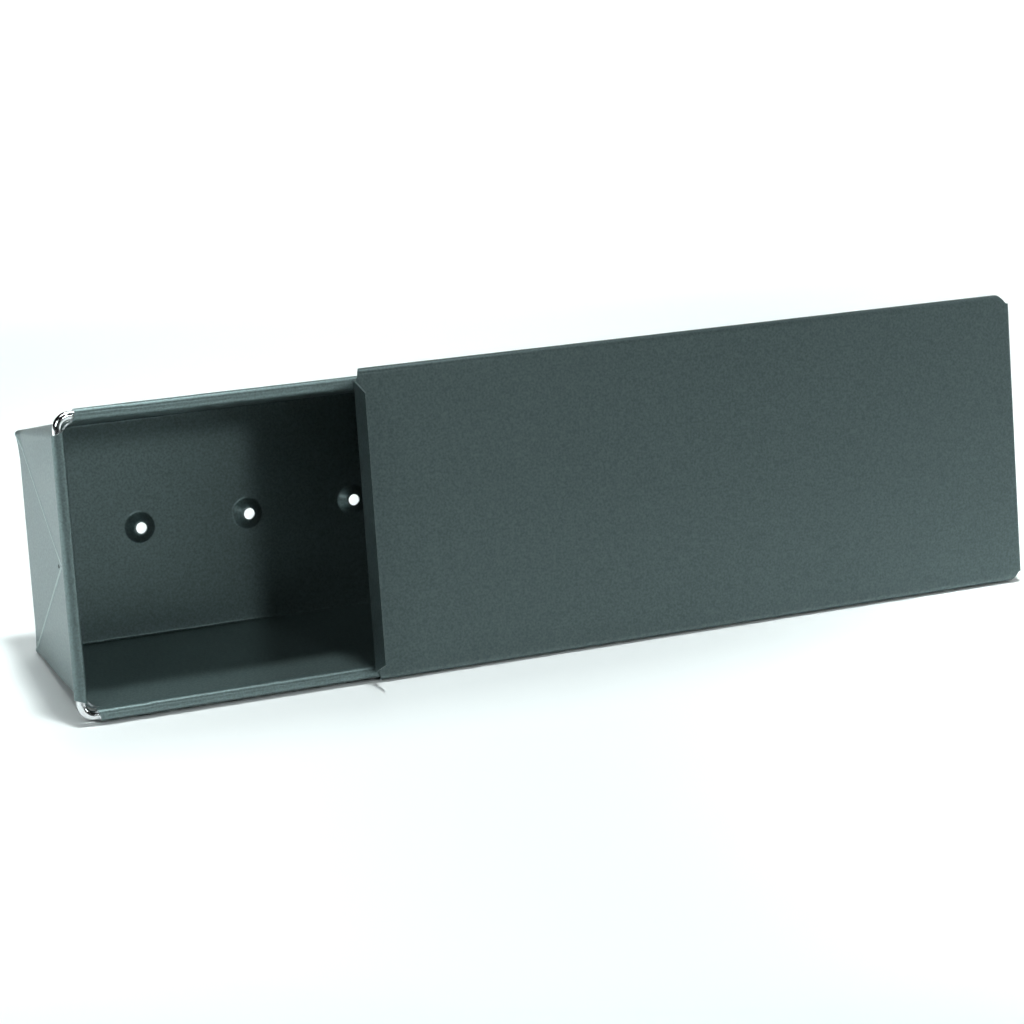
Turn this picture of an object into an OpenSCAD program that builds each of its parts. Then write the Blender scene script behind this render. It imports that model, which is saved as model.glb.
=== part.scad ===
// Pullman loaf pan: a folded steel pan with its rims rolled round a wire, and a lid that slides along the rims.
// Each piece is drawn upright, with the pan's bottom at height 0 and its mouth up: X runs along the pan.
// It is then laid on one long side, mouth towards -Y, as it leans on the lid's edge and the bottom's edge.

/* [Pan] */
// Length over the rolled rims
rim_length = 280; // [264:1:400]
// Width over the rolled rims
rim_width = 110; // [96:0.5:150]
// Height from the outside of the bottom to the middle of the rim wire
rim_height = 74.8; // [50:0.2:110]
// Length of the bottom, outside
base_length = 259; // [200:1:268]
// Width of the bottom, outside
base_width = 82.8; // [60:0.2:98]

/* [Sheet and wire] */
// Thickness of the steel sheet
sheet = 0.6; // [0.4:0.05:0.9]
// Diameter of the rim wire
wire_d = 3.3; // [2.4:0.1:4.5]
// Room between the wire and the sheet rolled round it
wire_gap = 0.05; // [0.04:0.01:0.15]
// Bend radius of the wire's middle line at the four corners
wire_bend = 4.5; // [3.5:0.1:6]

/* [Folds] */
// Outside radius of the four slanted corner folds
corner_fold = 3.6; // [1.5:0.1:5]
// Outside radius of the folds round the bottom
base_fold = 1.6; // [1.2:0.1:3]
// Straight length of wire left bare between a bend and the inner side of a long rim's roll
long_bare_wire = 0.4; // [0:0.1:8]
// Straight length of wire left bare between a bend and the inner side of a short rim's roll
short_bare_wire = 0; // [0:0.1:8]
// Angle of the slanted cut at each end of a roll, whose outer side is the shorter
roll_end_slant = 24; // [0:1:40]
// How far the trimmed corners of the sheet lie below the wire's middle
corner_trim = 2; // [1.8:0.1:4]
// Angle at which the sheet's rolled edge stops, counted from straight out, downwards
roll_end_angle = 95; // [60:1:110]

/* [End flaps] */
// Layers of sheet in each folded flap
flap_layers = 2; // [1:1:2]
// Width of each folded flap at the pan's bottom, past the corner fold
flap_foot = 0.4; // [0.3:0.1:10]
// How far the point where the two folds meet lies below the rim wire's middle
fold_meet_drop = 20.8; // [12:0.1:30]
// Room between the two flaps above that point
flap_seam = 0.6; // [0.3:0.1:4]
// Diameter of the relief hole
relief_d = 1.6; // [0.8:0.1:2.2]
// How far the relief hole's middle lies below the point where the two folds meet
relief_drop = 2.5; // [2:0.1:8]

/* [Vents] */
// Number of vents along the bottom
vent_count = 5; // [1:1:5]
// Distance from one vent to the next
vent_pitch = 43; // [20:0.5:44]
// Diameter of each vent hole
vent_hole_d = 4.3; // [2.5:0.1:5.5]
// Diameter of each vent's raised cone where it leaves the bottom
vent_foot_d = 11.9; // [10.5:0.1:16]
// How far each cone rises into the pan
vent_rise = 2.4; // [1:0.1:3.5]
// Width of the flat ring round each vent hole
vent_land = 0.7; // [0.3:0.1:1.2]

/* [Lid] */
// Room between a rim and the lid's channel on each side, when the lid is centred
lid_play = 1.15; // [0.4:0.05:2]
// Room left between the lower rim and the channel that it settles in
lid_rest_gap = 0.35; // [0.3:0.01:0.4]
// Room between the rolled rims and the lid above them
lid_top_gap = 0.35; // [0.3:0.05:1]
// Room between the rolled rims and the lips below them
lip_gap = 0.4; // [0.3:0.05:1]
// How far each lip reaches in from the lid's side
lip_reach = 4.2; // [3.6:0.1:4.4]
// Outside radius of the bends along the lid's sides
side_bend = 2.5; // [1.2:0.1:2.8]
// Outside radius of the bends at the lid's two ends
end_bend = 1.4; // [1.1:0.1:2]
// How far the lid stands open, from closed
lid_open = 111.3; // [0:0.1:160]

/* [Lid ends] */
// How far the grip stands up from the lid
grip_height = 10.2; // [5:0.1:18]
// How far the foot of the grip stays in from the lid's sides
grip_foot_inset = 3.8; // [3:0.1:8]
// How far the top of the grip stays in from the lid's sides
grip_tip_inset = 7.6; // [6:0.1:20]
// How far the channels start behind the grip
channel_setback = 2.4; // [1:0.1:6]
// How far the stop hangs down from the lid's top
stop_depth = 8; // [5.5:0.1:14]
// Width and length of the corners cut off beside the stop
stop_corner_cut = 3.5; // [2:0.1:4.5]
// Room between the stop and the rim when the lid is closed
stop_gap = 0.4; // [0.35:0.05:1.5]
// How far the closed lid's grip stays inside the pan's end
grip_end_inset = 1; // [0:0.1:6]

/* [Hidden] */
$fn = 64;

coating_grey = [0.33, 0.38, 0.38];
lid_grey = [0.29, 0.34, 0.34];
wire_grey = [0.82, 0.83, 0.84];

// Spare length that a cutting shape runs past what it cuts
spare = 4;

// The rolled rim
tunnel_r = wire_d / 2 + wire_gap;
roll_r = tunnel_r + sheet;
wire_half_length = rim_length / 2 - roll_r;
wire_half_width = rim_width / 2 - roll_r;
long_roll_half = wire_half_length - wire_bend - long_bare_wire;
short_roll_half = wire_half_width - wire_bend - short_bare_wire;
// The sheet leaves the wall this much past level, so that roll and wall share some metal
roll_start_angle = 184;

// The walls, outside: half sizes at the bottom and at the height of the wire, and how far they lean out
base_half_length = base_length / 2;
base_half_width = base_width / 2;
top_half_length = rim_length / 2 - 2 * roll_r + sheet;
top_half_width = rim_width / 2 - 2 * roll_r + sheet;
end_draft = atan((top_half_length - base_half_length) / rim_height);
side_draft = atan((top_half_width - base_half_width) / rim_height);
fold_meet_height = rim_height - fold_meet_drop;

// The lid, measured upright, its grip end at lid_left
lid_half_width = rim_width / 2 + lid_play + sheet;
lid_length = rim_length + stop_gap + sheet - grip_end_inset;
lid_left = -rim_length / 2 + grip_end_inset + lid_open;
lid_right = lid_left + lid_length;
lid_shift = lid_play - lid_rest_gap;
lid_under = rim_height + roll_r + lid_top_gap;
lid_top = lid_under + sheet;
lip_under = rim_height - roll_r - lip_gap - sheet;

// The lying pose: the floor touches the lower channel's bend and the bend of the bottom's lower edge
channel_touch = [-(lid_half_width - side_bend) + lid_shift, lip_under + side_bend];
base_touch = [-fold_centre(base_half_width, side_draft, 0, base_fold), base_fold];
touch_step = channel_touch - base_touch;
lean = asin((side_bend - base_fold) / norm(touch_step)) + atan2(-touch_step[0], touch_step[1]);

// The lying pose's box, which puts the origin at the middle of its bottom
box_front = across(-(lid_half_width - grip_tip_inset) + lid_shift, lid_top + grip_height);
box_back = across(-base_touch[0], base_touch[1]) + base_fold;
floor_height = above(base_touch[0], base_touch[1]) - base_fold;
box_middle = [(lid_right - rim_length / 2) / 2, (box_front + box_back) / 2, floor_height];

// Where a point at y, z of the upright piece comes to lie
function across(y, z) = y * sin(lean) - z * cos(lean);
function above(y, z) = y * cos(lean) + z * sin(lean);

// Middle of the bend between the bottom and a wall, measured out from the pan's middle
function fold_centre(half, draft, inset, radius) =
    half + ((inset + radius) * sin(draft) - (inset + radius)) / cos(draft);

// Half size at height z of a wall that is offset inwards by inset
function wall_half(half, draft, inset, z) = half + (z * sin(draft) - inset) / cos(draft);

module placed() {
    translate(-box_middle) rotate([90 - lean, 0, 0]) children();
}

// Section of the walls and bottom, offset inwards by inset, with a bend of the radius given
module tray_section(half, draft, inset, radius) {
    centre = fold_centre(half, draft, inset, radius);
    top = rim_height + (inset > 0 ? spare : 0);
    touch_x = centre + radius * cos(draft);
    touch_z = inset + radius - radius * sin(draft);
    top_half = wall_half(half, draft, inset, top);
    polygon([
        [centre, inset], [touch_x, touch_z], [top_half, top],
        [-top_half, top], [-touch_x, touch_z], [-centre, inset]
    ]);
    for (side = [-1, 1]) translate([side * centre, inset + radius]) circle(radius);
}

// What a slanted corner fold takes off one corner of the tray, for a fold of the radius given
module corner_waste(half_length, radius) {
    fold = corner_fold;
    start = [
        wall_half(half_length, end_draft, fold, -spare),
        wall_half(base_half_width, side_draft, fold, -spare),
        -spare
    ];
    run = [tan(end_draft), tan(side_draft)];
    turn = atan2(run[1], run[0]);
    tilt = atan(norm(run));
    end_angle = atan2(
        -cos(end_draft) * sin(turn),
        cos(end_draft) * cos(tilt) * cos(turn) + sin(end_draft) * sin(tilt)
    );
    side_angle = atan2(
        cos(side_draft) * cos(turn),
        cos(side_draft) * cos(tilt) * sin(turn) + sin(side_draft) * sin(tilt)
    );
    middle_angle = (end_angle + side_angle) / 2;
    reach = radius + spare;
    far = reach / cos((side_angle - end_angle) / 2);
    translate(start) rotate([0, tilt, turn])
        linear_extrude(rim_height + 3 * spare) difference() {
            polygon([
                [0, 0],
                reach * [cos(end_angle), sin(end_angle)],
                far * [cos(middle_angle), sin(middle_angle)],
                reach * [cos(side_angle), sin(side_angle)]
            ]);
            circle(radius);
        }
}

// The tray as a filled shape, offset inwards by inset, with its ends moved out by extra
module tray_solid(inset, extra) {
    half_length = base_half_length + extra;
    difference() {
        intersection() {
            rotate([90, 0, 90])
                linear_extrude(rim_length, center = true)
                    tray_section(base_half_width, side_draft, inset, base_fold - inset);
            rotate([90, 0, 0])
                linear_extrude(rim_width, center = true)
                    tray_section(half_length, end_draft, inset, base_fold - inset);
        }
        for (flip_x = [0, 1], flip_y = [0, 1])
            mirror([flip_x, 0, 0]) mirror([0, flip_y, 0])
                corner_waste(half_length, corner_fold - inset);
    }
}

// What the two folded flaps leave bare on one end wall, as a shape that reaches outwards: a triangle between
// their folds, and the seam above it
module bare_end() {
    seam_half = flap_seam / 2;
    seam_top = rim_height / cos(end_draft) + spare;
    fold_top = fold_meet_height / cos(end_draft);
    foot = base_half_width - corner_fold - flap_foot;
    slant = (foot - seam_half) / fold_top;
    translate([base_half_length, 0, 0]) rotate([90, 0, 90]) rotate([end_draft, 0, 0])
        linear_extrude(spare) polygon([
            [-foot - slant * spare, -spare], [foot + slant * spare, -spare],
            [seam_half, fold_top], [seam_half, seam_top],
            [-seam_half, seam_top], [-seam_half, fold_top]
        ]);
}

// Section of the sheet rolled round the wire: the wall is on the left
module roll_section() {
    far = 2 * roll_r;
    difference() {
        circle(roll_r);
        circle(tunnel_r);
        polygon([
            [0, 0],
            far * [cos(roll_start_angle), sin(roll_start_angle)],
            far * [-1, -1],
            far * [cos(-roll_end_angle), sin(-roll_end_angle)]
        ]);
    }
}

// One rolled rim along X, with the wall at -Y. Its inner side reaches half to each end.
module roll(half) {
    inner = roll_r + spare;
    slant = tan(roll_end_slant);
    intersection() {
        rotate([90, 0, 90]) linear_extrude(2 * (half + inner), center = true) roll_section();
        linear_extrude(2 * inner, center = true) polygon([
            [-half - spare * slant, -inner], [half + spare * slant, -inner],
            [half - (inner + roll_r) * slant, inner], [-half + (inner + roll_r) * slant, inner]
        ]);
    }
}

// The closed loop of the rim wire, drawn with the radius given
module rim_loop(radius) {
    half_length = wire_half_length - wire_bend;
    half_width = wire_half_width - wire_bend;
    translate([0, 0, rim_height]) for (flip = [0, 1]) {
        mirror([0, flip, 0]) translate([0, wire_half_width, 0]) rotate([0, 90, 0])
            cylinder(h = 2 * half_length, r = radius, center = true);
        mirror([flip, 0, 0]) translate([wire_half_length, 0, 0]) rotate([90, 0, 0])
            cylinder(h = 2 * half_width, r = radius, center = true);
        for (flip_y = [0, 1])
            mirror([flip, 0, 0]) mirror([0, flip_y, 0]) translate([half_length, half_width, 0])
                rotate_extrude(angle = 90) translate([wire_bend, 0]) circle(radius);
    }
}

// One vent's cone, which rises from the inside of the bottom
module vent_cone() {
    hole = vent_hole_d / 2;
    shoulder = hole + vent_land;
    foot = vent_foot_d / 2;
    rotate_extrude() polygon([
        [hole, vent_rise], [shoulder - sheet / 2, vent_rise], [foot - sheet / 2, 0], [foot + sheet, 0],
        [foot + sheet, sheet], [foot, sheet], [shoulder, vent_rise + sheet], [hole, vent_rise + sheet]
    ]);
}

module at_vents() {
    for (place = [0 : vent_count - 1])
        translate([(place - (vent_count - 1) / 2) * vent_pitch, 0, 0]) children();
}

// The tray with its ends thicker where the flaps lie, up to the underside of the rolled rims
module flaps() {
    difference() {
        tray_solid(0, flap_layers * sheet);
        for (flip = [0, 1]) mirror([flip, 0, 0]) bare_end();
        translate([-rim_length / 2, -rim_width / 2, rim_height - roll_r])
            cube([rim_length, rim_width, roll_r + spare]);
    }
}

// All that is taken out of the filled tray: its inside, the trimmed corners and the holes
module tray_hollow() {
    tray_solid(sheet, 0);
    for (flip_x = [0, 1], flip_y = [0, 1])
        mirror([flip_x, 0, 0]) mirror([0, flip_y, 0])
            translate([long_roll_half, short_roll_half, rim_height - corner_trim])
                cube([
                    rim_length / 2 - long_roll_half,
                    rim_width / 2 - short_roll_half,
                    corner_trim + spare
                ]);
    for (flip = [0, 1])
        mirror([flip, 0, 0]) translate([0, 0, fold_meet_height - relief_drop]) rotate([0, 90, 0])
            cylinder(h = rim_length, d = relief_d);
    at_vents() translate([0, 0, -sheet])
        cylinder(h = 3 * sheet, d = vent_foot_d);
}

module pan_shell() {
    color(coating_grey) placed() {
        difference() {
            union() {
                tray_solid(0, 0);
                flaps();
            }
            tray_hollow();
        }
        at_vents() vent_cone();
        for (flip = [0, 1]) {
            mirror([0, flip, 0]) translate([0, wire_half_width, rim_height])
                roll(long_roll_half);
            mirror([flip, 0, 0]) translate([wire_half_length, 0, rim_height]) rotate(-90)
                roll(short_roll_half);
        }
    }
}

module rim_wire() {
    color(wire_grey) placed() rim_loop(wire_d / 2);
}

// A bar's section with four round edges
module round_bar(half_width, low, high, radius) {
    for (side = [-1, 1], level = [low + radius, high - radius])
        translate([side * (half_width - radius), level]) circle(radius);
    translate([-half_width, low + radius]) square([2 * half_width, high - low - 2 * radius]);
    translate([-half_width + radius, low]) square([2 * half_width - 2 * radius, high - low]);
}

// Section across the lid: a flat top whose sides turn down and in under the rims
module lid_section() {
    difference() {
        round_bar(lid_half_width, lip_under, lid_top, side_bend);
        round_bar(lid_half_width - sheet, lip_under + sheet, lid_under, side_bend - sheet);
        translate([-lid_half_width + lip_reach, lip_under - spare])
            square([2 * (lid_half_width - lip_reach), 2 * spare]);
    }
}

// A quarter of a bend in the sheet, drawn round its own middle, from +X to +Y
module bend_quarter() {
    intersection() {
        difference() {
            circle(end_bend);
            circle(end_bend - sheet);
        }
        square(end_bend);
    }
}

// The end of the lid that turns up
module grip() {
    foot = lid_half_width - grip_foot_inset;
    tip = lid_half_width - grip_tip_inset;
    low = lid_under + end_bend;
    translate([lid_left + end_bend, 0, low]) rotate([90, 0, 0])
        linear_extrude(2 * foot, center = true) rotate(180) bend_quarter();
    translate([lid_left, 0, 0]) rotate([90, 0, 90]) linear_extrude(sheet) polygon([
        [-foot, low], [foot, low],
        [tip, lid_top + grip_height], [-tip, lid_top + grip_height]
    ]);
}

// The end of the lid that turns down
module stop() {
    half = lid_half_width - stop_corner_cut;
    high = lid_top - end_bend;
    translate([lid_right - end_bend, 0, high]) rotate([90, 0, 0])
        linear_extrude(2 * half, center = true) bend_quarter();
    translate([lid_right - sheet, -half, lid_top - stop_depth])
        cube([sheet, 2 * half, stop_depth - end_bend]);
}

// What is cut off beside the grip, seen from above, for the side at +Y
module grip_corner() {
    foot = lid_half_width - grip_foot_inset;
    polygon([
        [-spare, foot], [0, foot], [channel_setback, foot + channel_setback],
        [channel_setback, lid_half_width + spare], [-spare, lid_half_width + spare]
    ]);
}

// What is cut off beside the stop, seen from above, for the side at +Y
module stop_corner() {
    polygon([
        [-stop_corner_cut, lid_half_width], [spare, lid_half_width - stop_corner_cut - spare],
        [spare, lid_half_width + spare], [-stop_corner_cut, lid_half_width + spare]
    ]);
}

// What is cut off the end of a channel below the lid's flat top, for the side at +Y
module channel_cut(length) {
    translate([0, lid_half_width - lip_reach - sheet, lip_under - spare])
        cube([length, lip_reach + spare, lid_top - end_bend - lip_under + spare]);
}

module lid() {
    color(lid_grey) placed() translate([0, lid_shift, 0]) {
        difference() {
            translate([lid_left + end_bend, 0, 0]) rotate([90, 0, 90])
                linear_extrude(lid_length - 2 * end_bend) lid_section();
            for (flip = [0, 1]) mirror([0, flip, 0]) {
                translate([lid_left, 0, lip_under - spare])
                    linear_extrude(lid_top - lip_under + 2 * spare) grip_corner();
                translate([lid_right, 0, lip_under - spare])
                    linear_extrude(lid_top - lip_under + 2 * spare) stop_corner();
                translate([lid_left, 0, 0]) channel_cut(channel_setback);
                translate([lid_right - stop_corner_cut, 0, 0]) channel_cut(stop_corner_cut);
            }
        }
        grip();
        stop();
    }
}

pan_shell();
rim_wire();
lid();
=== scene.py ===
"""Looks of the pullman loaf pan: folded coated steel, a bright rim wire, and the studio it stands in.

The pieces are modelled upright in millimetres, with the pan's bottom at height 0 and its mouth up, and are then
laid on one side in the frame's own place.
"""

import logging
import math
from collections.abc import Callable
from dataclasses import dataclass
from enum import Enum, IntEnum

import bmesh
import bpy
from mathutils import Matrix, Vector


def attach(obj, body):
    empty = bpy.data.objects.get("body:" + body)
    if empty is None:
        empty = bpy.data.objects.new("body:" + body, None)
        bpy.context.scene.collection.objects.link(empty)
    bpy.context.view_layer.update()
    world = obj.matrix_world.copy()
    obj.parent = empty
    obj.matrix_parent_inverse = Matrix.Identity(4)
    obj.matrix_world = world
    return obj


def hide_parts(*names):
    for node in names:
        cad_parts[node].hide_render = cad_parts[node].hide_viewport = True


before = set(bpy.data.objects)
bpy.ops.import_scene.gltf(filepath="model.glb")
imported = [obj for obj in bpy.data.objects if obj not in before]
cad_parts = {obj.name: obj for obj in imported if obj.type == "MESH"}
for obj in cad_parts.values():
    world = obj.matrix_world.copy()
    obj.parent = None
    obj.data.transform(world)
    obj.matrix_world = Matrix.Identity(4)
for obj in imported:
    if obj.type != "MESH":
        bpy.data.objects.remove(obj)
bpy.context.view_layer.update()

LOG = logging.getLogger("loaf_pan")
MM = 0.001
CLOSE = 0.01

Colour = tuple[float, float, float]
EdgeTest = Callable[[bmesh.types.BMEdge], bool]
FaceTest = Callable[[bmesh.types.BMFace], bool]


class Slot(Enum):
    """The record's material slots."""

    PAN = "pan_coating"
    LID = "lid_coating"
    WIRE = "wire"


class Body(Enum):
    """The bodies that the pieces move with."""

    PAN = "pan"
    LID = "lid"


class Node(Enum):
    """The frame's solids."""

    PAN = "pan_shell"
    WIRE = "rim_wire"
    LID = "lid"


class ShellFinish(IntEnum):
    """The shell's finishes, in the order of its material slots: the coating, the cut edges, a painted highlight on the
    fold crests and painted shade in the relief hole.
    """

    COATING = 0
    CUT_EDGE = 1
    FOLD_EDGE = 2
    HOLE_WALL = 3


class Axis(Enum):
    """A direction to turn about."""

    X = (1.0, 0.0, 0.0)
    Y = (0.0, 1.0, 0.0)
    Z = (0.0, 0.0, 1.0)


@dataclass(frozen=True)
class Upright:
    """The sizes that pan, wire and lid share, in millimetres, with the pan standing upright."""

    rim_length: float = 280.0
    rim_width: float = 110.0
    rim_height: float = 74.8
    base_length: float = 259.0
    base_width: float = 82.8
    base_fold: float = 1.6
    sheet: float = 0.6
    wire_d: float = 3.3
    wire_gap: float = 0.05
    wire_bend: float = 4.5
    lid_play: float = 1.15
    lid_rest_gap: float = 0.35
    lid_top_gap: float = 0.35
    lip_gap: float = 0.4
    side_bend: float = 2.5
    lid_open: float = 111.3
    grip_height: float = 10.2
    grip_tip_inset: float = 7.6
    stop_gap: float = 0.4
    grip_end_inset: float = 1.0

    @property
    def tunnel_r(self) -> float:
        """Inside radius of the rolled rim."""
        return self.wire_d / 2 + self.wire_gap

    @property
    def roll_r(self) -> float:
        """Outside radius of the rolled rim."""
        return self.tunnel_r + self.sheet

    @property
    def wire_half_length(self) -> float:
        """Half the length of the wire's middle line."""
        return self.rim_length / 2 - self.roll_r

    @property
    def wire_half_width(self) -> float:
        """Half the width of the wire's middle line."""
        return self.rim_width / 2 - self.roll_r

    @property
    def end_draft(self) -> float:
        """How far the end walls lean out, in radians."""
        top = self.rim_length / 2 - 2 * self.roll_r + self.sheet
        return math.atan((top - self.base_length / 2) / self.rim_height)

    @property
    def side_draft(self) -> float:
        """How far the long walls lean out, in radians."""
        top = self.rim_width / 2 - 2 * self.roll_r + self.sheet
        return math.atan((top - self.base_width / 2) / self.rim_height)

    @property
    def lid_half_width(self) -> float:
        """Half the lid's width."""
        return self.rim_width / 2 + self.lid_play + self.sheet

    @property
    def lid_shift(self) -> float:
        """How far the lid lies off the middle, because it hangs on the lower rim."""
        return self.lid_play - self.lid_rest_gap

    @property
    def lid_left(self) -> float:
        """The grip end of the lid."""
        return -self.rim_length / 2 + self.grip_end_inset + self.lid_open

    @property
    def lid_right(self) -> float:
        """The stop end of the lid."""
        return self.lid_left + self.rim_length + self.stop_gap + self.sheet - self.grip_end_inset

    @property
    def lid_top(self) -> float:
        """Height of the lid's face."""
        return self.rim_height + self.roll_r + self.lid_top_gap + self.sheet

    @property
    def lip_under(self) -> float:
        """Height of the underside of the lid's lips."""
        return self.rim_height - self.roll_r - self.lip_gap - self.sheet

    def laid(self) -> Matrix:
        """Works out how the upright pan comes to lie, from what touches the floor.

        Returns:
            The matrix from upright millimetres to the frame's metres.
        """
        channel = Vector((-(self.lid_half_width - self.side_bend) + self.lid_shift, self.lip_under + self.side_bend))
        draft = self.side_draft
        fold_out = self.base_width / 2 + self.base_fold * (math.sin(draft) - 1) / math.cos(draft)
        step = channel - Vector((-fold_out, self.base_fold))
        lean = math.asin((self.side_bend - self.base_fold) / step.length) + math.atan2(-step.x, step.y)

        def across(y: float, z: float) -> float:
            return y * math.sin(lean) - z * math.cos(lean)

        front = across(
            -(self.lid_half_width - self.grip_tip_inset) + self.lid_shift, self.lid_top + self.grip_height
        )
        back = across(fold_out, self.base_fold) + self.base_fold
        floor = -fold_out * math.cos(lean) + self.base_fold * math.sin(lean) - self.base_fold
        middle = Vector(((self.lid_right - self.rim_length / 2) / 2, (front + back) / 2, floor))
        turn = Matrix.Rotation(math.radians(90) - lean, 4, "X")
        return Matrix.Scale(MM, 4) @ Matrix.Translation(-middle) @ turn


class Bench:
    """One mesh in the works: picked by place or normal, and shaped with Blender's own edit tools."""

    def __init__(self, name: str) -> None:
        """Takes the object that was just added and opens it for editing."""
        self.piece = bpy.context.object
        self.piece.name = name
        self.piece.data.name = name
        bpy.ops.object.transform_apply(location=True, rotation=True, scale=True)
        self.open()

    def open(self) -> None:
        """Goes to edit mode with all of the mesh picked."""
        bpy.ops.object.select_all(action="DESELECT")
        bpy.context.view_layer.objects.active = self.piece
        self.piece.select_set(True)
        bpy.ops.object.mode_set(mode="EDIT")
        bpy.ops.mesh.select_all(action="SELECT")

    def close(self) -> None:
        """Goes back to object mode."""
        bpy.ops.object.mode_set(mode="OBJECT")

    def mesh(self) -> bmesh.types.BMesh:
        """The mesh under edit."""
        return bmesh.from_edit_mesh(self.piece.data)

    def pick_edges(self, test: EdgeTest) -> None:
        """Picks the edges that pass a test.

        Args:
            test: Says whether an edge is wanted.
        """
        bpy.ops.mesh.select_mode(type="EDGE")
        bpy.ops.mesh.select_all(action="DESELECT")
        picked = [edge for edge in self.mesh().edges if test(edge)]
        if not picked:
            raise ValueError(f"no edge picked on {self.piece.name}")
        for edge in picked:
            edge.select_set(True)
        bmesh.update_edit_mesh(self.piece.data)

    def pick_faces(self, test: FaceTest) -> None:
        """Picks the faces that pass a test.

        Args:
            test: Says whether a face is wanted.
        """
        bpy.ops.mesh.select_mode(type="FACE")
        bpy.ops.mesh.select_all(action="DESELECT")
        picked = [face for face in self.mesh().faces if test(face)]
        if not picked:
            raise ValueError(f"no face picked on {self.piece.name}")
        for face in picked:
            face.select_set(True)
        bmesh.update_edit_mesh(self.piece.data)

    def extrude(self, x: float = 0.0, y: float = 0.0, z: float = 0.0) -> None:
        """Pulls new metal out of what is picked."""
        bpy.ops.mesh.extrude_region_move(TRANSFORM_OT_translate={"value": (x, y, z)})

    def resize(self, x: float = 1.0, y: float = 1.0, z: float = 1.0) -> None:
        """Scales what is picked about the upright origin."""
        bpy.ops.transform.resize(value=(x, y, z), center_override=(0.0, 0.0, 0.0))

    def spin(self, turn: float, steps: int, centre: tuple[float, float, float], axis: Axis) -> None:
        """Bends new metal round an axis.

        Args:
            turn: The right-handed angle in degrees. The tool itself counts the other way.
            steps: How many steps it takes.
            centre: A point on the axis.
            axis: The axis.
        """
        bpy.ops.mesh.spin(steps=steps, angle=-math.radians(turn), center=centre, axis=axis.value)

    def bevel(self, width: float, segments: int) -> None:
        """Rounds the picked edges."""
        bpy.ops.mesh.bevel(
            offset_type="OFFSET", offset=width, segments=segments, profile=0.5, affect="EDGES", clamp_overlap=False
        )

    def cut(self, point: tuple[float, float, float], normal: tuple[float, float, float], clear: bool) -> None:
        """Cuts the whole mesh with a plane.

        Args:
            point: A point of the plane.
            normal: Its normal.
            clear: Whether what lies on the normal's side goes.
        """
        bpy.ops.mesh.select_all(action="SELECT")
        unit = Vector(normal).normalized()
        bpy.ops.mesh.bisect(plane_co=point, plane_no=unit, clear_outer=clear, clear_inner=False, threshold=CLOSE)

    def shape(self, move: Callable[[Vector], Vector], picked_only: bool = False) -> None:
        """Pushes points of the mesh by hand.

        Args:
            move: Gives a point's new place.
            picked_only: Whether only picked points move.
        """
        for point in self.mesh().verts:
            if point.select or not picked_only:
                point.co = move(point.co.copy())
        bmesh.update_edit_mesh(self.piece.data)

    def tidy(self) -> None:
        """Merges doubles and points the faces outwards."""
        bpy.ops.mesh.select_mode(type="VERT")
        bpy.ops.mesh.select_all(action="SELECT")
        bpy.ops.mesh.remove_doubles(threshold=CLOSE)
        bpy.ops.mesh.normals_make_consistent(inside=False)

    def face_up(self, level: float, up: bool) -> None:
        """Turns all faces over if the flat faces at a level look the wrong way.

        Args:
            level: The height of the flat faces.
            up: Whether they are meant to look up.
        """
        flat = [
            face.normal.z
            for face in self.mesh().faces
            if abs(face.normal.z) > 0.99 and abs(face.calc_center_median().z - level) < CLOSE
        ]
        if (sum(flat) > 0) != up:
            bpy.ops.mesh.select_all(action="SELECT")
            bpy.ops.mesh.flip_normals()

    def coat(self, materials: list[bpy.types.Material]) -> None:
        """Gives the piece its finishes, each in a slot of its own.

        Args:
            materials: The finishes, in the order of their slots.
        """
        for material in materials:
            self.piece.data.materials.append(material)

    def thicken(self, sheet: float, edge_slot: int = 0) -> None:
        """Gives a drawn face the sheet's thickness, behind it.

        Args:
            sheet: The thickness.
            edge_slot: How many material slots further the cut edges take their finish from.
        """
        solidify = self.piece.modifiers.new("sheet", "SOLIDIFY")
        solidify.thickness = sheet
        solidify.offset = -1.0
        solidify.use_even_offset = True
        solidify.material_offset_rim = edge_slot
        bpy.ops.object.modifier_apply(modifier=solidify.name)

    def drill(self, bit: bpy.types.Object) -> None:
        """Cuts another object's shape out of this one, and throws the other away.

        Args:
            bit: The cutting shape.
        """
        boolean = self.piece.modifiers.new("drill", "BOOLEAN")
        boolean.object = bit
        boolean.operation = "DIFFERENCE"
        boolean.solver = "EXACT"
        bpy.context.view_layer.objects.active = self.piece
        bpy.ops.object.modifier_apply(modifier=boolean.name)
        bpy.data.objects.remove(bit)

    def smooth(self, angle: float = 35.0) -> None:
        """Shades bends smoothly and keeps flats flat."""
        bpy.ops.object.select_all(action="DESELECT")
        self.piece.select_set(True)
        bpy.context.view_layer.objects.active = self.piece
        bpy.ops.object.shade_smooth_by_angle(angle=math.radians(angle))
        weighted = self.piece.modifiers.new("flats", "WEIGHTED_NORMAL")
        weighted.keep_sharp = True
        weighted.weight = 100
        bpy.ops.object.modifier_apply(modifier=weighted.name)

    def lay_down(self, laid: Matrix) -> None:
        """Lays the upright piece in its place in the frame."""
        self.piece.matrix_world = laid @ self.piece.matrix_world
        bpy.ops.object.select_all(action="DESELECT")
        self.piece.select_set(True)
        bpy.context.view_layer.objects.active = self.piece
        bpy.ops.object.transform_apply(location=True, rotation=True, scale=True)


def all_at(edge: bmesh.types.BMEdge, axis: int, value: float, slack: float = CLOSE) -> bool:
    """Whether both ends of an edge lie at a value on an axis."""
    return all(abs(point.co[axis] - value) < slack for point in edge.verts)


def socket(node: bpy.types.Node, name: str, value: object) -> None:
    """Sets the input socket called name."""
    node.inputs[name].default_value = value


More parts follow.
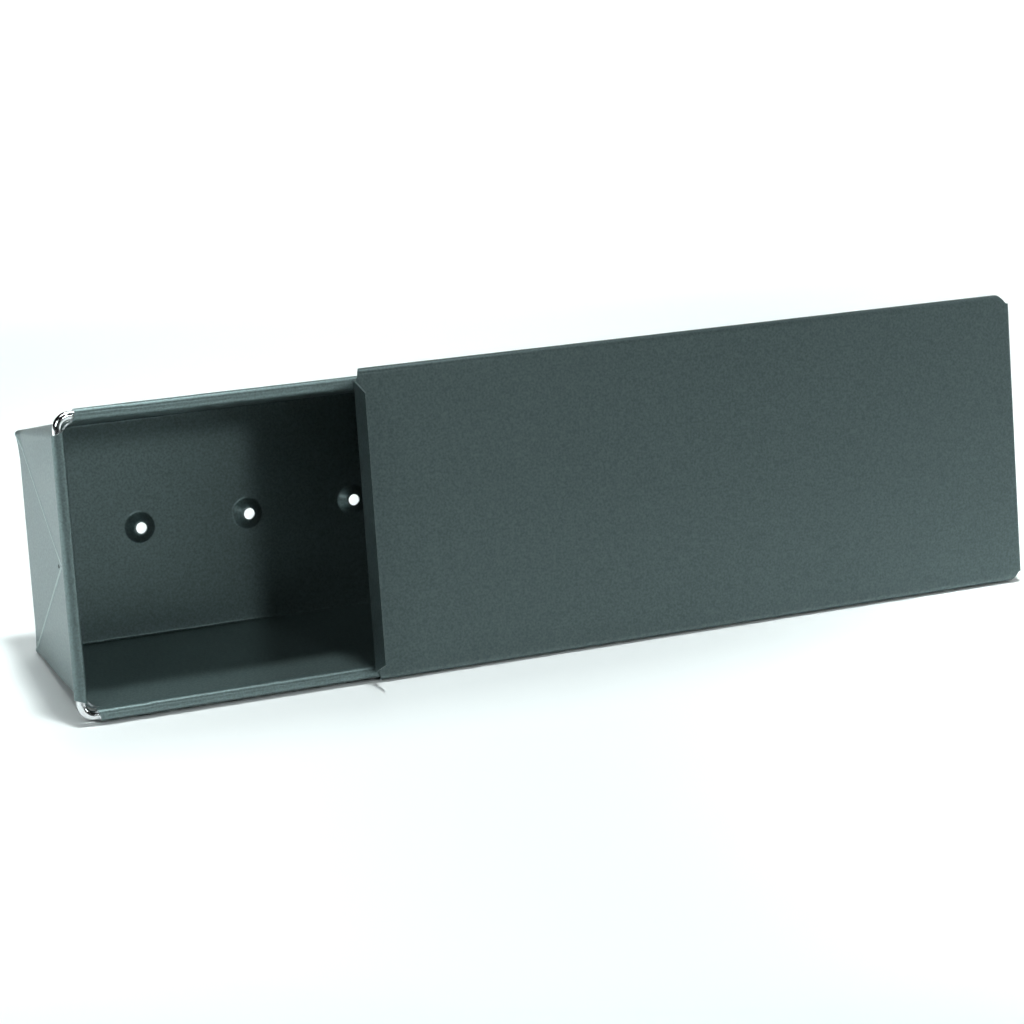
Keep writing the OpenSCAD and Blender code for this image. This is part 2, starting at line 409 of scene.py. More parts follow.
@dataclass(frozen=True)
class Coating:
    """A baked-on satin coating with a fine grain, a faint mottle and the slight waves of thin sheet."""

    name: str
    dark: Colour
    light: Colour
    roughness: float = 0.38
    metallic: float = 0.7
    grain_size: float = 0.8 * MM
    mottle_size: float = 0.85 * MM
    grain_depth: float = 0.03 * MM

    def make(self) -> bpy.types.Material:
        """Builds the material.

        Returns:
            The new node material.
        """
        material = bpy.data.materials.new(self.name)
        material.use_nodes = True
        tree = material.node_tree
        shader = tree.nodes["Principled BSDF"]
        socket(shader, "Metallic", self.metallic)
        place = tree.nodes.new("ShaderNodeTexCoord")
        mottle = tree.nodes.new("ShaderNodeTexNoise")
        socket(mottle, "Scale", 1.0 / self.mottle_size)
        socket(mottle, "Detail", 1.5)
        ramp = tree.nodes.new("ShaderNodeValToRGB")
        ramp.color_ramp.elements[0].position = 0.3
        ramp.color_ramp.elements[0].color = (*self.dark, 1.0)
        ramp.color_ramp.elements[1].position = 0.7
        ramp.color_ramp.elements[1].color = (*self.light, 1.0)
        rough = tree.nodes.new("ShaderNodeMapRange")
        socket(rough, "To Min", self.roughness - 0.05)
        socket(rough, "To Max", self.roughness + 0.06)
        grain = tree.nodes.new("ShaderNodeTexNoise")
        socket(grain, "Scale", 1.0 / self.grain_size)
        socket(grain, "Detail", 3.0)
        bump = tree.nodes.new("ShaderNodeBump")
        socket(bump, "Strength", 0.35)
        socket(bump, "Distance", self.grain_depth)
        link = tree.links.new
        link(place.outputs["Object"], mottle.inputs["Vector"])
        link(place.outputs["Object"], grain.inputs["Vector"])
        link(mottle.outputs["Fac"], ramp.inputs["Fac"])
        link(ramp.outputs["Color"], shader.inputs["Base Color"])
        link(grain.outputs["Fac"], rough.inputs["Value"])
        link(rough.outputs["Result"], shader.inputs["Roughness"])
        link(grain.outputs["Fac"], bump.inputs["Height"])
        link(bump.outputs["Normal"], shader.inputs["Normal"])
        return material


@dataclass(frozen=True)
class BareSteel:
    """Uncoated steel with fine lines in it: the drawn wire, or a cut edge."""

    name: str
    colour: Colour
    roughness: float
    line_size: float = 0.25 * MM

    def make(self) -> bpy.types.Material:
        """Builds the material.

        Returns:
            The new node material.
        """
        material = bpy.data.materials.new(self.name)
        material.use_nodes = True
        tree = material.node_tree
        shader = tree.nodes["Principled BSDF"]
        socket(shader, "Metallic", 1.0)
        socket(shader, "Base Color", (*self.colour, 1.0))
        place = tree.nodes.new("ShaderNodeTexCoord")
        lines = tree.nodes.new("ShaderNodeTexNoise")
        socket(lines, "Scale", 1.0 / self.line_size)
        rough = tree.nodes.new("ShaderNodeMapRange")
        socket(rough, "To Min", self.roughness)
        socket(rough, "To Max", self.roughness + 0.12)
        tree.links.new(place.outputs["Object"], lines.inputs["Vector"])
        tree.links.new(lines.outputs["Fac"], rough.inputs["Value"])
        tree.links.new(rough.outputs["Result"], shader.inputs["Roughness"])
        return material


def hand_over(bench: Bench, node: Node, body: Body) -> None:
    """Lets a finished piece stand for its solid.

    Args:
        bench: The piece's bench.
        node: The solid that it replaces.
        body: What it moves with.
    """
    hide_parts(node.value)
    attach(bench.piece, body.value)
    LOG.info("%s: %d faces", bench.piece.name, len(bench.piece.data.polygons))


@dataclass
class PanShell:
    """The pan: one sheet with round folds, rolled rims, folded corner flaps and dished vents."""

    size: Upright
    corner_foot_r: float = 1.8
    corner_top_r: float = 5.5
    long_bare_wire: float = 0.4
    short_bare_wire: float = 0.0
    roll_end_slant: float = 24.0
    roll_end_angle: float = 95.0
    roll_end_reach: float = 6.0
    roll_steps: int = 28
    corner_trim: float = 2.0
    flap_layers: int = 2
    flap_foot: float = 1.4
    fold_meet_drop: float = 20.8
    fold_crest: float = 0.38
    fold_slope: float = 1.1
    fold_fade: float = 9.0
    groove: float = 0.14
    groove_place: float = 2.6
    flat_from: float = 24.0
    seam: float = 0.6
    seam_shift: float = -2.0
    upper_ear: float = 1.2
    lower_ear: float = 0.5
    ear_height: float = 8.0
    ear_steps: int = 3
    relief_d: float = 1.6
    relief_drop: float = 23.7
    relief_shift: float = -2.6
    vent_count: int = 5
    vent_pitch: float = 43.0
    vent_points: int = 64
    vent_hole_d: float = 4.3
    vent_foot_d: float = 11.9
    vent_rise: float = 2.4
    vent_land: float = 0.7
    foot_round: float = 2.2
    shoulder_round: float = 0.8
    coating: Coating = Coating("pan_coating", (0.122, 0.164, 0.164), (0.175, 0.236, 0.236))
    cut_edge: BareSteel = BareSteel("cut_edge", (0.42, 0.45, 0.46), 0.3)
    # A lighter coating on the fold crests: a painted highlight, not a different finish of the metal.
    painted_fold_highlight: Coating = Coating("painted_fold_highlight", (0.23, 0.3, 0.3), (0.3, 0.4, 0.4))
    # A near-black coating on the relief hole's wall: painted shade, not a different finish of the metal.
    painted_hole_shade: Coating = Coating("painted_hole_shade", (0.004, 0.005, 0.005), (0.006, 0.008, 0.008), metallic=0.0)

    def vent_profile(self) -> list[tuple[float, float]]:
        """Works out a vent's section from its foot to its hole.

        Returns:
            Radius and height of each ring, on the underside of the sheet.
        """
        hole = self.vent_hole_d / 2
        shoulder = hole + self.vent_land - self.size.sheet / 2
        foot = (self.vent_foot_d - self.size.sheet) / 2
        slope = math.atan2(self.vent_rise, foot - shoulder)
        steps = 5
        rings = []
        reach = self.foot_round * math.tan(slope / 2)
        for step in range(steps + 1):
            angle = slope * step / steps
            rings.append((foot + reach - self.foot_round * math.sin(angle), self.foot_round * (1 - math.cos(angle))))
        reach = self.shoulder_round * math.tan(slope / 2)
        for step in range(steps + 1):
            angle = slope * (1 - step / steps)
            rings.append((
                shoulder - reach + self.shoulder_round * math.sin(angle),
                self.vent_rise - self.shoulder_round * (1 - math.cos(angle)),
            ))
        if rings[-1][0] > hole + CLOSE:
            rings.append((hole, self.vent_rise))
        return rings

    def vent_cell(self) -> Bench:
        """Models one vent with the stretch of bottom round it.

        Returns:
            The bench with the first vent's cell on it.
        """
        rings = self.vent_profile()
        bpy.ops.object.select_all(action="DESELECT")
        bpy.ops.mesh.primitive_circle_add(vertices=self.vent_points, radius=rings[0][0], fill_type="NOTHING")
        bench = Bench("loaf_pan_shell")
        radius, height = rings[0]
        for next_radius, next_height in rings[1:]:
            bench.extrude(z=next_height - height)
            scale = next_radius / radius
            bench.resize(x=scale, y=scale)
            radius, height = next_radius, next_height
        outer = rings[0][0] - CLOSE
        bench.pick_edges(lambda edge: min(point.co.xy.length for point in edge.verts) > outer)
        bench.extrude()
        bench.shape(self.to_cell_edge, True)
        return bench

    def to_cell_edge(self, point: Vector) -> Vector:
        """Moves a point of the ring round the vent to the edge of its cell.

        Args:
            point: A point of the ring.

        Returns:
            Its place on the oblong edge, which has as many points on each of its four sides.
        """
        half = Vector((self.vent_pitch / 2, self.size.base_width / 2))
        turn = 4 * math.atan2(point.y, point.x) / math.pi
        way = math.copysign(1.0, turn)
        if abs(turn) <= 1:
            return Vector((half.x, half.y * turn, 0.0))
        if abs(turn) <= 3:
            return Vector((half.x * (2 - abs(turn)), half.y * way, 0.0))
        return Vector((-half.x, half.y * (4 - abs(turn)) * way, 0.0))

    def bottom(self) -> Bench:
        """Repeats the vent's cell along the pan and adds the plain ends of the bottom.

        Returns:
            The bench with the whole bottom on it.
        """
        bench = self.vent_cell()
        run = (self.vent_count - 1) * self.vent_pitch
        bpy.ops.mesh.select_all(action="SELECT")
        bpy.ops.transform.translate(value=(-run / 2, 0.0, 0.0))
        for _ in range(self.vent_count - 1):
            bpy.ops.mesh.duplicate_move(TRANSFORM_OT_translate={"value": (self.vent_pitch, 0.0, 0.0)})
        bench.tidy()
        edge_x = (run + self.vent_pitch) / 2
        for side in (-1, 1):
            bench.pick_edges(lambda edge: all_at(edge, 0, side * edge_x))
            bench.extrude(x=side * (self.size.base_length / 2 - edge_x))
        return bench

    def walls(self) -> Bench:
        """Folds up the walls as far as the trimmed corners reach.

        Returns:
            The bench with the open tray on it.
        """
        size = self.size
        bench = self.bottom()
        half = Vector((size.base_length / 2, size.base_width / 2))
        bench.pick_edges(lambda edge: any(all_at(edge, axis, side * half[axis]) for axis in (0, 1) for side in (-1, 1)))
        height = size.rim_height - self.corner_trim
        bench.extrude(z=height)
        bench.resize(
            x=1 + height * math.tan(size.end_draft) / half.x,
            y=1 + height * math.tan(size.side_draft) / half.y,
        )
        bench.tidy()
        bench.face_up(0.0, False)
        self.round_corners(bench, half)
        turn = math.radians(90) - (size.end_draft + size.side_draft) / 2
        bench.pick_edges(lambda edge: all_at(edge, 2, 0.0) and edge.calc_face_angle(0.0) > 0.5)
        bench.bevel(size.base_fold * math.tan(turn / 2), 5)
        for step in range(1, self.ear_steps + 1):
            bench.cut((0.0, 0.0, step * self.ear_height / self.ear_steps), (0.0, 0.0, 1.0), False)
        bench.shape(self.eared)
        bench.tidy()
        bench.face_up(0.0, False)
        return bench

    def round_corners(self, bench: Bench, half: Vector) -> None:
        """Rounds the four corner folds, which widen towards the rim.

        Args:
            bench: The bench with the sharp-cornered tray.
            half: Half the bottom's length and width.
        """
        size = self.size
        height = size.rim_height - self.corner_trim
        turn = math.acos(math.sin(size.end_draft) * math.sin(size.side_draft))
        reach = self.corner_foot_r * math.tan(turn / 2)
        bench.pick_edges(lambda edge: abs(edge.verts[0].co.z - edge.verts[1].co.z) > CLOSE
                         and all(abs(point.co.x) > half.x - CLOSE and abs(point.co.y) > half.y - CLOSE
                                 for point in edge.verts))
        bench.bevel(reach, 8)
        sharp = half + height * Vector((math.tan(size.end_draft), math.tan(size.side_draft)))
        spread = self.corner_top_r / self.corner_foot_r

        def widened(point: Vector) -> Vector:
            inset = sharp - Vector((abs(point.x), abs(point.y)))
            if abs(point.z - height) < CLOSE and max(inset) < 1.2 * reach:
                point.x = math.copysign(sharp.x - spread * inset.x, point.x)
                point.y = math.copysign(sharp.y - spread * inset.y, point.y)
            return point

        bench.shape(widened)

    def eared(self, point: Vector) -> Vector:
        """Pushes the foot of an end wall out beside a corner, where the folded metal can't lie flat.

        Args:
            point: A point of the tray.

        Returns:
            Its new place.
        """
        half = Vector((self.size.base_length / 2, self.size.base_width / 2))
        if abs(point.x) > half.x - self.corner_foot_r - self.size.base_fold:
            near = max(0.0, 1 - point.z / self.ear_height) * max(0.0, 1 - abs(half.y - abs(point.y)) / self.ear_height)
            ear = self.upper_ear if point.y > 0 else self.lower_ear
            point.x += math.copysign(ear * near, point.x)
        return point

    def roll(self, bench: Bench, axis: int, side: int) -> None:
        """Rolls one rim round the wire.

        Args:
            bench: The bench with the tray.
            axis: 0 for an end wall's rim, 1 for a long wall's.
            side: Which of the two.
        """
        size = self.size
        wire = (size.wire_half_length, size.wire_half_width)[axis]
        draft = (size.end_draft, size.side_draft)[axis]
        bare = (self.short_bare_wire, self.long_bare_wire)[axis]
        run = (size.wire_half_width, size.wire_half_length)[axis] - size.wire_bend - bare
        start = size.rim_height - self.corner_trim
        wall = (size.base_length, size.base_width)[axis] / 2 + start * math.tan(draft)
        bench.pick_edges(lambda edge: all_at(edge, 2, start) and all_at(edge, axis, side * wall))
        out = side * (wire - size.tunnel_r * math.cos(draft) - wall)
        up = self.corner_trim - size.tunnel_r * math.sin(draft)
        ends = max(abs(point.co[1 - axis]) for point in bench.mesh().verts if point.select)
        turn = side * (180 + math.degrees(draft) + self.roll_end_angle)
        if axis == 0:
            bench.extrude(x=out, z=up)
            bench.resize(y=run / ends)
            bench.spin(turn, self.roll_steps, (side * wire, 0.0, size.rim_height), Axis.Y)
        else:
            bench.extrude(y=out, z=up)
            bench.resize(x=run / ends)
            bench.spin(-turn, self.roll_steps, (0.0, side * wire, size.rim_height), Axis.X)
        inner = wire - size.roll_r
        slant = math.tan(math.radians(self.roll_end_slant))

        def slanted(point: Vector) -> Vector:
            along = point[1 - axis]
            near_end = 1 - (run - abs(along)) / self.roll_end_reach
            if point.z > start + CLOSE and side * point[axis] > inner and near_end > 0:
                back = near_end * slant * (side * point[axis] - inner)
                point[1 - axis] = math.copysign(abs(along) - back, along)
            return point

        bench.shape(slanted)

    def flap(self, side: int) -> bpy.types.Object:
        """Models a folded flap from a copy of the walls, proud of the end wall by its layers.

        Args:
            side: Which long wall it is folded from.

        Returns:
            The flap at the +X end.
        """
        size = self.size
        bench = self.walls()
        bench.piece.name = "corner_flap"
        wall = size.base_length / 2 - self.corner_foot_r - size.base_fold
        bench.pick_faces(lambda face: face.normal.x < 0.02 or face.calc_center_median().x < wall)
        bpy.ops.mesh.delete(type="FACE")
        meet, inward = self.fold(side)
        bench.cut(meet, inward, True)
        bench.cut(meet, (0.0, -side, 0.0), True)
        bench.cut((0.0, 0.0, size.rim_height - size.roll_r), (0.0, 0.0, 1.0), True)
        profile = self.fold_profile()
        for place, _ in profile[1:]:
            bench.cut(meet - inward * place, inward, False)
        bpy.ops.mesh.select_all(action="SELECT")
        bench.extrude(x=self.flap_layers * size.sheet)

        def pressed(point: Vector) -> Vector:
            place = (meet - point).dot(inward)
            fade = min(1.0, 0.15 + (meet - point).yz.length / self.fold_fade)
            for (near, low), (far, high) in zip(profile, profile[1:]):
                if place <= far:
                    stand = low + (high - low) * max(0.0, place - near) / (far - near)
                    break
            else:
                stand = profile[-1][1]
            point.x += fade * stand - profile[-1][1]
            return point

        bench.shape(pressed, True)
        bench.tidy()
        bench.close()
        return bench.piece

    def fold(self, side: int) -> tuple[Vector, Vector]:
        """Works out where a flap's fold runs.

        Args:
            side: Which long wall the flap is folded from.

        Returns:
            Where the fold ends beside the seam, and the way across it to the bare wall.
        """
        meet = Vector((0.0, self.seam_shift + side * self.seam / 2, self.size.rim_height - self.fold_meet_drop))
        rise = meet - Vector((0.0, side * (self.size.base_width / 2 - self.flap_foot), 0.0))
        return meet, Vector((0.0, -side * rise.z, side * rise.y)).normalized()

    def fold_profile(self) -> list[tuple[float, float]]:
        """Works out how proud a flap stands, from its fold to where it lies flat.

        Returns:
            Distance from the fold and stand off the end wall, in order.
        """
        crest = self.fold_crest
        slope = self.fold_slope
        return [
            (0.0, 0.05),
            (0.3 * slope, 0.35 * crest),
            (0.7 * slope, 0.85 * crest),
            (slope, crest),
            (1.5 * slope, 0.9 * crest),
            (self.groove_place, crest - self.groove),
            (1.6 * self.groove_place, crest - self.groove),
            (self.flat_from, self.flap_layers * self.size.sheet),
        ]

    def fit_flaps(self, bench: Bench) -> None:
        """Lays a pair of flaps against each end wall.

        Args:
            bench: The bench with the thickened shell.
        """
        for side in (1, -1):
            flap = self.flap(side)
            for end in (1, -1):
                bpy.ops.object.select_all(action="DESELECT")
                copy = flap.copy()
                copy.data = flap.data.copy()
                copy.data.materials.append(bench.piece.data.materials[ShellFinish.COATING])
                bpy.context.scene.collection.objects.link(copy)
                copy.scale = (end, 1.0, 1.0)
                copy.select_set(True)
                bpy.context.view_layer.objects.active = copy
                bpy.ops.object.transform_apply(location=True, rotation=True, scale=True)
                bpy.ops.object.mode_set(mode="EDIT")
                bpy.ops.mesh.select_all(action="SELECT")
                bpy.ops.mesh.normals_make_consistent(inside=False)
                bpy.ops.object.mode_set(mode="OBJECT")
                bench.piece.select_set(True)
                bpy.context.view_layer.objects.active = bench.piece
                bpy.ops.object.join()
            bpy.data.objects.remove(flap)

    def build(self) -> Bench:
        """Models the whole shell.

        Returns:
            The bench with the finished shell.
        """
        size = self.size
        bench = self.walls()
        for axis in (1, 0):
            for side in (-1, 1):
                self.roll(bench, axis, side)
        bench.tidy()
        bench.face_up(0.0, False)
        bench.close()
        # The last two slots are painted light: a highlight on the fold crests and near-black shade in the relief hole.
        bench.coat([finish.make() for finish in (self.coating, self.cut_edge, self.painted_fold_highlight, self.painted_hole_shade)])
        bench.thicken(size.sheet, ShellFinish.CUT_EDGE)
        bpy.ops.mesh.primitive_cylinder_add(
            vertices=24,
            radius=self.relief_d / 2,
            depth=size.rim_length,
            location=(0.0, self.relief_shift, size.rim_height - self.relief_drop),
            rotation=(0.0, math.radians(90), 0.0),
        )
        bench.drill(bpy.context.object)
        self.fit_flaps(bench)
        self.mark_folds(bench)
        return bench

    def mark_folds(self, bench: Bench) -> None:
        """Paints a highlight on the crests of the flaps' folds and shade on the wall of the relief hole, each in its
        own slot.

        Args:
            bench: The bench with the shell and its flaps.
        """
        end = self.size.base_length / 2
        hole = Vector((self.relief_shift, self.size.rim_height - self.relief_drop))
        folds = [(side, *self.fold(side)) for side in (1, -1)]
        for face in bench.piece.data.polygons:
            centre = face.center
            if abs(centre.x) < end - self.size.base_fold:
                continue
            if abs(face.normal.x) < 0.3 and (centre.yz - hole).length < self.relief_d / 2 + CLOSE:
                # The relief hole's wall takes the painted shade.
                face.material_index = ShellFinish.HOLE_WALL
            for side, meet, inward in folds:
                across = (meet - centre).dot(inward)
                beside_seam = side * (centre.y - meet.y) > 0
                # The crest faces of each fold take the painted highlight.
                if beside_seam and 0 < across < 1.4 * self.fold_slope and face.normal.x * centre.x > 0.5 * end:
                    face.material_index = ShellFinish.FOLD_EDGE

    def dress(self, bench: Bench) -> None:
        """Shades the shell, whose faces have their finishes already, and lays it down."""
        bench.smooth()
        bench.lay_down(self.size.laid())
        hand_over(bench, Node.PAN, Body.PAN)


@dataclass
class RimWire:
    """The closed wire loop in the rims."""

    size: Upright
    points: int = 40
    bend_steps: int = 16
    finish: BareSteel = BareSteel("bright_wire", (0.78, 0.79, 0.8), 0.1)

    def build(self) -> Bench:
        """Models the loop: four straight runs and four bends.

        Returns:
            The bench with the finished wire.
        """
        size = self.size
        half = Vector((size.wire_half_length, size.wire_half_width)) - Vector((size.wire_bend, size.wire_bend))
        bpy.ops.object.select_all(action="DESELECT")
        bpy.ops.mesh.primitive_circle_add(
            vertices=self.points,
            radius=size.wire_d / 2,
            fill_type="NOTHING",
            location=(-half.x, size.wire_half_width, size.rim_height),
            rotation=(0.0, math.radians(90), 0.0),
        )
        bench = Bench("rim_wire_loop")
        for run_x, run_y in ((1, 0), (0, -1), (-1, 0), (0, 1)):
            bench.extrude(x=2 * half.x * run_x, y=2 * half.y * run_y)
            corner = (half.x * (run_x + run_y * -1), half.y * (run_y + run_x), size.rim_height)
            bench.spin(-90, self.bend_steps, corner, Axis.Z)
        bench.tidy()
        bench.close()
        return bench

    def dress(self, bench: Bench) -> None:
        """Gives the wire its bright finish and lays it down."""
        bpy.ops.object.shade_smooth()
        bench.lay_down(self.size.laid())
        bench.coat([self.finish.make()])
        hand_over(bench, Node.WIRE, Body.PAN)


@dataclass
class Lid:
    """The lid: one sheet with a channel along each side, a grip turned up and a stop turned down."""

    size: Upright
    lip_reach: float = 4.2
    end_bend: float = 1.4
    grip_foot_inset: float = 3.8
    channel_setback: float = 1.9
    channel_slope: float = 0.5
    stop_slant: float = 2.1
    stop_depth: float = 8.0
    stop_setback: float = 2.3
    stop_corner_cut: float = 3.5
    bend_steps: int = 8
    edge_round: float = 0.12
    coating: Coating = Coating("lid_coating", (0.082, 0.111, 0.111), (0.119, 0.16, 0.16))

    def build(self) -> Bench:
        """Models the lid's outer face and gives it the sheet's thickness.

        Returns:
            The bench with the finished lid.
        """
        size = self.size
        top = size.lid_top
        flat_half = size.lid_half_width - size.side_bend
        left = size.lid_left + self.channel_setback
        right = size.lid_right - self.stop_setback
        bpy.ops.object.select_all(action="DESELECT")
        bpy.ops.mesh.primitive_plane_add(size=1.0, location=((left + right) / 2, 0.0, top))
        bpy.context.object.scale = (right - left, 2 * flat_half, 1.0)
        bench = Bench("sliding_lid")
        for side in (-1, 1):
            self.channel(bench, side, flat_half)
        self.grip(bench, left, flat_half)
        self.stop(bench, right, flat_half)

        def slanted(point: Vector) -> Vector:
            if abs(point.x - left) < CLOSE:
                point.x += self.channel_slope * (top - point.z)
            if abs(point.x - right) < CLOSE and abs(point.y) > flat_half - size.side_bend:
                depth = max(0.0, abs(point.y) - flat_half) / size.side_bend
                point.x -= self.stop_slant * (depth if point.z > top - size.side_bend else 1.0)
            return point

        bench.shape(slanted)
        bench.tidy()
        bench.face_up(top, True)
        bench.shape(lambda point: point + Vector((0.0, size.lid_shift, 0.0)))
        bench.close()
        bench.thicken(size.sheet)
        bevel = bench.piece.modifiers.new("cut_edges", "BEVEL")
        bevel.width = self.edge_round
        bevel.segments = 2
        bevel.limit_method = "ANGLE"
        bevel.angle_limit = math.radians(60)
        bpy.ops.object.modifier_apply(modifier=bevel.name)
        return bench

    def channel(self, bench: Bench, side: int, flat_half: float) -> None:
        """Bends one long side down and in under the rim.

        Args:
            bench: The bench with the flat lid.
            side: Which side.
            flat_half: Half the width of the flat.
        """
        size = self.size
        high = size.lid_top - size.side_bend
        low = size.lip_under + size.side_bend
        bench.pick_edges(lambda edge: all_at(edge, 1, side * flat_half))
        bench.spin(-90 * side, self.bend_steps, (0.0, side * flat_half, high), Axis.X)
        bench.extrude(z=low - high)
        bench.spin(-90 * side, self.bend_steps, (0.0, side * flat_half, low), Axis.X)
        bench.extrude(y=-side * (self.lip_reach - size.side_bend))

    def grip(self, bench: Bench, left: float, flat_half: float) -> None:
        """Turns the lid's left end up.

        Args:
            bench: The bench with the lid.
            left: Where the channels start.
            flat_half: Half the width of the flat.
        """
        size = self.size
        foot = size.lid_half_width - self.grip_foot_inset
        tip = size.lid_half_width - size.grip_tip_inset
        inner_bend = self.end_bend - size.sheet
        bench.pick_edges(lambda edge: all_at(edge, 0, left) and all_at(edge, 2, size.lid_top))
        bench.extrude(x=size.lid_left + self.end_bend - left)
        bench.resize(y=foot / flat_half)
        bench.spin(90, self.bend_steps, (size.lid_left + self.end_bend, 0.0, size.lid_top + inner_bend), Axis.Y)
        bench.extrude(z=size.grip_height - inner_bend)
        bench.resize(y=tip / foot)

    def stop(self, bench: Bench, right: float, flat_half: float) -> None:
        """Turns the lid's right end down.

        Args:
            bench: The bench with the lid.
            right: Where the channels end.
            flat_half: Half the width of the flat.
        """
        size = self.size
        half = size.lid_half_width - self.stop_corner_cut
        bench.pick_edges(lambda edge: all_at(edge, 0, right) and all_at(edge, 2, size.lid_top))
        bench.extrude(x=size.lid_right - self.end_bend - right)
        bench.resize(y=half / flat_half)
        bench.spin(90, self.bend_steps, (size.lid_right - self.end_bend, 0.0, size.lid_top - self.end_bend), Axis.Y)
        bench.extrude(z=self.end_bend - self.stop_depth)

    def dress(self, bench: Bench) -> None:
        """Gives the lid its coating and lays it down."""
        bench.smooth()
        bench.lay_down(self.size.laid())
        bench.coat([self.coating.make()])
        hand_over(bench, Node.LID, Body.LID)


@dataclass(frozen=True)
class Lamp:
    """One soft box, placed by its direction from the pan."""

    name: str
    azimuth: float
    elevation: float
    distance: float
    side: float
    watts: float

    def hang(self, aim: Vector, tint: Colour) -> None:
        """Hangs the soft box and turns it to the pan.

        Args:
            aim: What it points at.
            tint: The colour of its light.
        """
        data = bpy.data.lights.new(self.name, "AREA")
        data.shape = "SQUARE"
        data.size = self.side
        data.energy = self.watts
        data.color = tint
        lamp = bpy.data.objects.new(self.name, data)
        turn, rise = math.radians(self.azimuth), math.radians(self.elevation)
        way = Vector((math.sin(turn) * math.cos(rise), -math.cos(turn) * math.cos(rise), math.sin(rise)))
        lamp.location = aim + way * self.distance
        lamp.rotation_euler = (-way).to_track_quat("-Z", "Y").to_euler()
        lamp.visible_camera = False
        bpy.context.scene.collection.objects.link(lamp)


@dataclass(frozen=True)
class FloorSpot:
    """One spotlight that shines straight down on a round patch of the floor."""

    name: str
    x: float
    y: float
    height: float
    radius: float
    blend: float
    softness: float
    watts: float

    def hang(self, tint: Colour) -> None:
        """Hangs the spotlight over its patch.

        Args:
            tint: The colour of its light.
        """
        data = bpy.data.lights.new(self.name, "SPOT")
        data.energy = self.watts
        data.color = tint
        data.spot_size = 2 * math.atan(self.radius / self.height)
        data.spot_blend = self.blend
        data.shadow_soft_size = self.softness
        lamp = bpy.data.objects.new(self.name, data)
        lamp.location = (self.x, self.y, self.height)
        lamp.visible_camera = False
        bpy.context.scene.collection.objects.link(lamp)


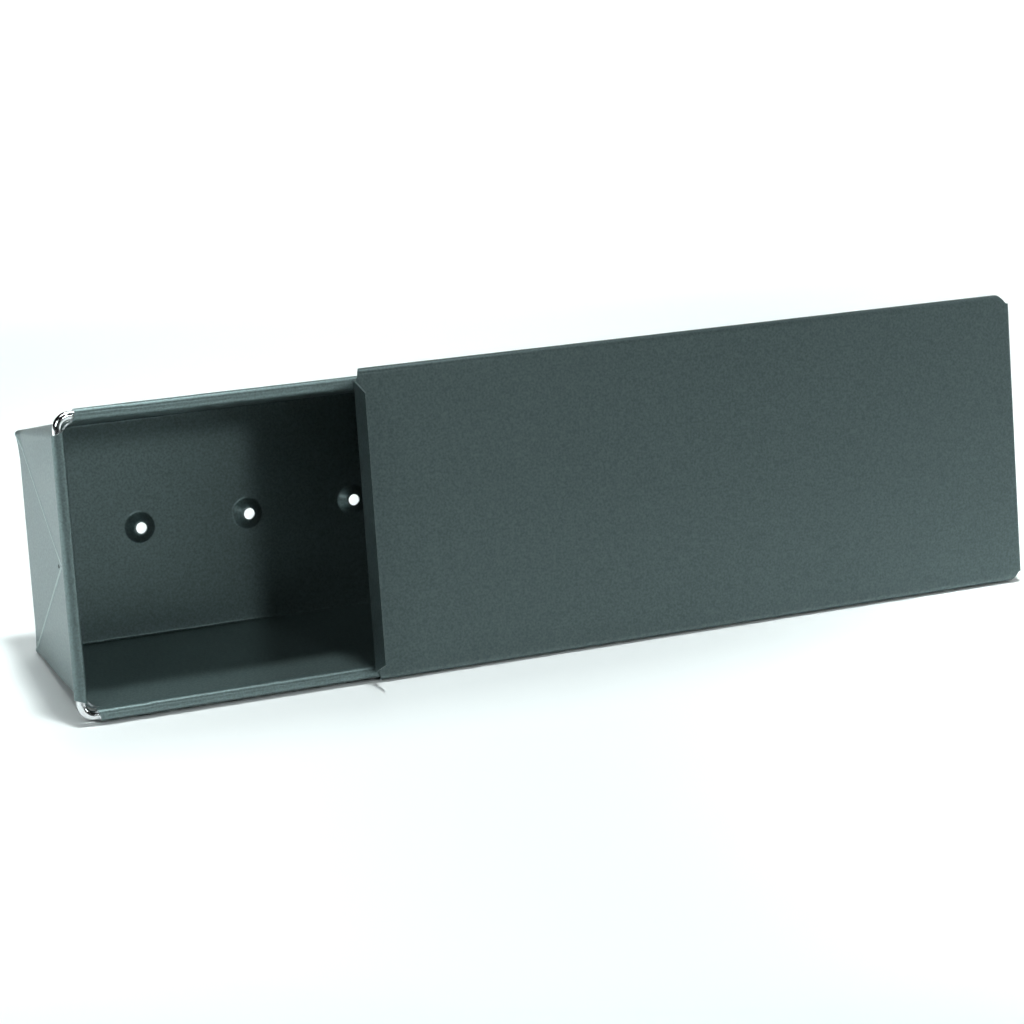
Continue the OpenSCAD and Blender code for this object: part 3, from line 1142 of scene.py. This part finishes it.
@dataclass
class Studio:
    """A white sweep, soft boxes and the photograph's camera."""

    eye: tuple[float, float, float] = (-0.535071, -1.069122, 0.437831)
    azimuth: float = 26.205
    elevation: float = 18.352
    roll: float = 0.966
    lens_mm: float = 116.67
    sensor_mm: float = 36.0
    floor_size: float = 12.0
    tint: Colour = (0.92, 1.0, 1.0)
    lamps: tuple[Lamp, ...] = (
        Lamp("key", 6.2, 26.7, 1.8, 0.2, 4.4),
        Lamp("left", -60.0, 30.0, 1.5, 0.5, 4.6),
        Lamp("right", 60.0, 15.0, 1.8, 0.5, 3.8),
        Lamp("back", 170.0, 65.0, 2.0, 0.6, 12.0),
    )
    spots: tuple[FloorSpot, ...] = (
        FloorSpot("pool", 0.0, -0.04, 2.25, 0.42, 0.2, 0.12, 134.0),
        FloorSpot("pool_front", 0.32, -0.3, 2.25, 0.32, 0.4, 0.12, 112.0),
        FloorSpot("pool_right", 0.5, 0.0, 2.25, 0.35, 0.4, 0.12, 167.0),
        FloorSpot("wash_back", 0.4, 1.2, 2.2, 1.05, 0.6, 0.3, 319.0),
        FloorSpot("wash_left", -1.3, 0.1, 2.2, 1.0, 0.6, 0.3, 280.0),
        FloorSpot("wash_near_left", -0.85, 0.15, 2.2, 0.6, 0.5, 0.3, 185.0),
        FloorSpot("wash_near_back", -0.5, 0.5, 2.2, 0.4, 0.6, 0.3, 113.0),
    )
    ring_spots: int = 8
    ring_reach: float = 2.9
    ring_height: float = 3.0
    ring_radius: float = 1.9
    ring_watts: float = 300.0

    def floor(self) -> None:
        """Lays the pale floor."""
        bpy.ops.object.select_all(action="DESELECT")
        bpy.ops.mesh.primitive_plane_add(size=self.floor_size, location=(0.0, 0.0, 0.0))
        floor = bpy.context.object
        floor.name = "floor"
        material = bpy.data.materials.new("pale_floor")
        material.use_nodes = True
        shader = material.node_tree.nodes["Principled BSDF"]
        socket(shader, "Base Color", (0.93, 0.94, 0.94, 1.0))
        socket(shader, "Roughness", 0.7)
        floor.data.materials.append(material)

    def light(self) -> None:
        """Sets the world and the soft boxes."""
        world = bpy.data.worlds.new("studio")
        world.use_nodes = True
        socket(world.node_tree.nodes["Background"], "Color", (1.0, 1.0, 1.0, 1.0))
        socket(world.node_tree.nodes["Background"], "Strength", 0.0)
        bpy.context.scene.world = world
        for lamp in self.lamps:
            lamp.hang(Vector((0.0, -0.02, 0.05)), self.tint)
        for spot in (*self.spots, *self.ring()):
            spot.hang(self.tint)

    def ring(self) -> list[FloorSpot]:
        """Places the spotlights that keep the floor pale far from the pan, on every side.

        Returns:
            The ring of spotlights.
        """
        spots = []
        for step in range(self.ring_spots):
            turn = 2 * math.pi * step / self.ring_spots
            x, y = self.ring_reach * math.cos(turn), self.ring_reach * math.sin(turn)
            spots.append(FloorSpot(f"far_{step}", x, y, self.ring_height, self.ring_radius, 0.8, 0.3, self.ring_watts))
        return spots

    def camera(self) -> None:
        """Places the camera as the photograph's perspective gives it."""
        data = bpy.data.cameras.new("camera")
        data.sensor_width = self.sensor_mm
        data.lens = self.lens_mm
        data.clip_end = 50.0
        camera = bpy.data.objects.new("camera", data)
        bpy.context.scene.collection.objects.link(camera)
        turn = (
            Matrix.Rotation(-math.radians(self.azimuth), 4, "Z")
            @ Matrix.Rotation(math.radians(90.0 - self.elevation), 4, "X")
            @ Matrix.Rotation(math.radians(self.roll), 4, "Z")
        )
        camera.matrix_world = Matrix.Translation(Vector(self.eye)) @ turn
        bpy.context.scene.camera = camera
        bpy.context.scene.view_settings.view_transform = "Standard"

    def build(self) -> None:
        """Sets up the whole studio."""
        self.floor()
        self.light()
        self.camera()


def main() -> None:
    """Builds the studio and the pan's pieces in order, and logs each piece's face count."""
    logging.basicConfig(level=logging.INFO)
    Studio().build()
    size = Upright()
    for maker in (PanShell(size), RimWire(size), Lid(size)):
        maker.dress(maker.build())


if __name__ == "__main__":
    main()
